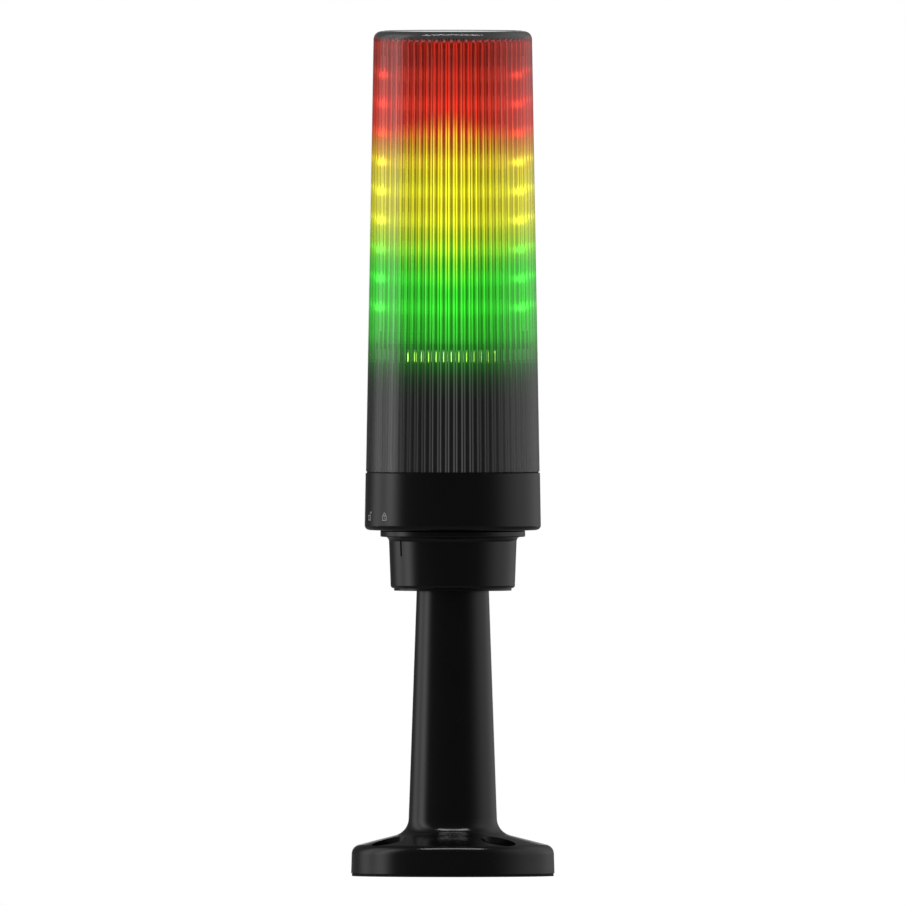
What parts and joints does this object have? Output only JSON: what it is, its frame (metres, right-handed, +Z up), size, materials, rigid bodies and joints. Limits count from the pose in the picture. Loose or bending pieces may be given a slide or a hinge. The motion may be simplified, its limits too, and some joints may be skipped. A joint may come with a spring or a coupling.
{
  "type": "stack light",
  "caption": "Signal tower with a tapered smoked lens over red, yellow and green LED rows, on a black tube pedestal with a round screw-down foot and a twist-lock head.",
  "frame": {"origin": "centre of the underside of the foot's gasket", "axes": "+Z up along the tower; the four fixing holes lie on the diagonals of X and Y, and the index mark of the twist lock is on the diagonal between -X and -Y"},
  "size_m": [0.07, 0.07, 0.2908],
  "materials": {
    "black_plastic": "satin moulded black",
    "inner_plastic": "satin moulded black",
    "seal_rubber": "matte",
    "smoked_lens": "clear smoked, gloss outside, fluted inside",
    "steel": "zinc plated",
    "brass": "plated",
    "terminal_plastic": "grey moulded",
    "circuit_board": "green solder mask",
    "led_board": "black solder mask",
    "header_plastic": "black moulded",
    "capacitor_can": "sleeved can",
    "red_led": "lit",
    "yellow_led": "lit",
    "green_led": "lit",
    "power_led": "lit"
  },
  "bodies": {
    "stand": {"base_gasket": "seal_rubber", "pedestal": "black_plastic", "tube_seal": "seal_rubber", "adapter_cup": "black_plastic", "lock_washer": "steel", "lock_nut": "black_plastic", "terminal_carrier": "inner_plastic", "carrier_screws": "steel", "terminal_block": "terminal_plastic", "terminal_screws": "steel", "terminal_clamps": "brass", "contact_pins": "brass"},
    "head": {"collar": "black_plastic", "head_deck": "inner_plastic", "head_seal": "seal_rubber", "contact_board": "circuit_board", "contact_tracks": "brass", "lens_seal": "seal_rubber", "lens": "smoked_lens", "driver_housing": "inner_plastic", "housing_screws": "steel", "driver_board": "circuit_board", "driver_connector": "header_plastic", "board_screws": "steel", "driver_capacitors": "capacitor_can", "power_led": "power_led", "column_foot": "inner_plastic", "column_screws": "steel", "led_board_1": "led_board", "led_board_2": "led_board", "led_board_3": "led_board", "column_cap": "inner_plastic", "green_led_1": "green_led", "green_led_2": "green_led", "green_led_3": "green_led", "green_led_4": "green_led", "green_led_5": "green_led", "green_led_6": "green_led", "green_led_7": "green_led", "green_led_8": "green_led", "green_led_9": "green_led", "yellow_led_1": "yellow_led", "yellow_led_2": "yellow_led", "yellow_led_3": "yellow_led", "yellow_led_4": "yellow_led", "yellow_led_5": "yellow_led", "yellow_led_6": "yellow_led", "yellow_led_7": "yellow_led", "yellow_led_8": "yellow_led", "yellow_led_9": "yellow_led", "red_led_1": "red_led", "red_led_2": "red_led", "red_led_3": "red_led", "red_led_4": "red_led", "red_led_5": "red_led", "red_led_6": "red_led", "red_led_7": "red_led", "red_led_8": "red_led", "red_led_9": "red_led"}
  },
  "joints": [
    {"name": "head_twist", "type": "hinge", "parent": "stand", "child": "head", "pos_m": [0, 0, 0.119], "axis": [0, 0, 1], "range_deg": [0, 20]}
  ]
}
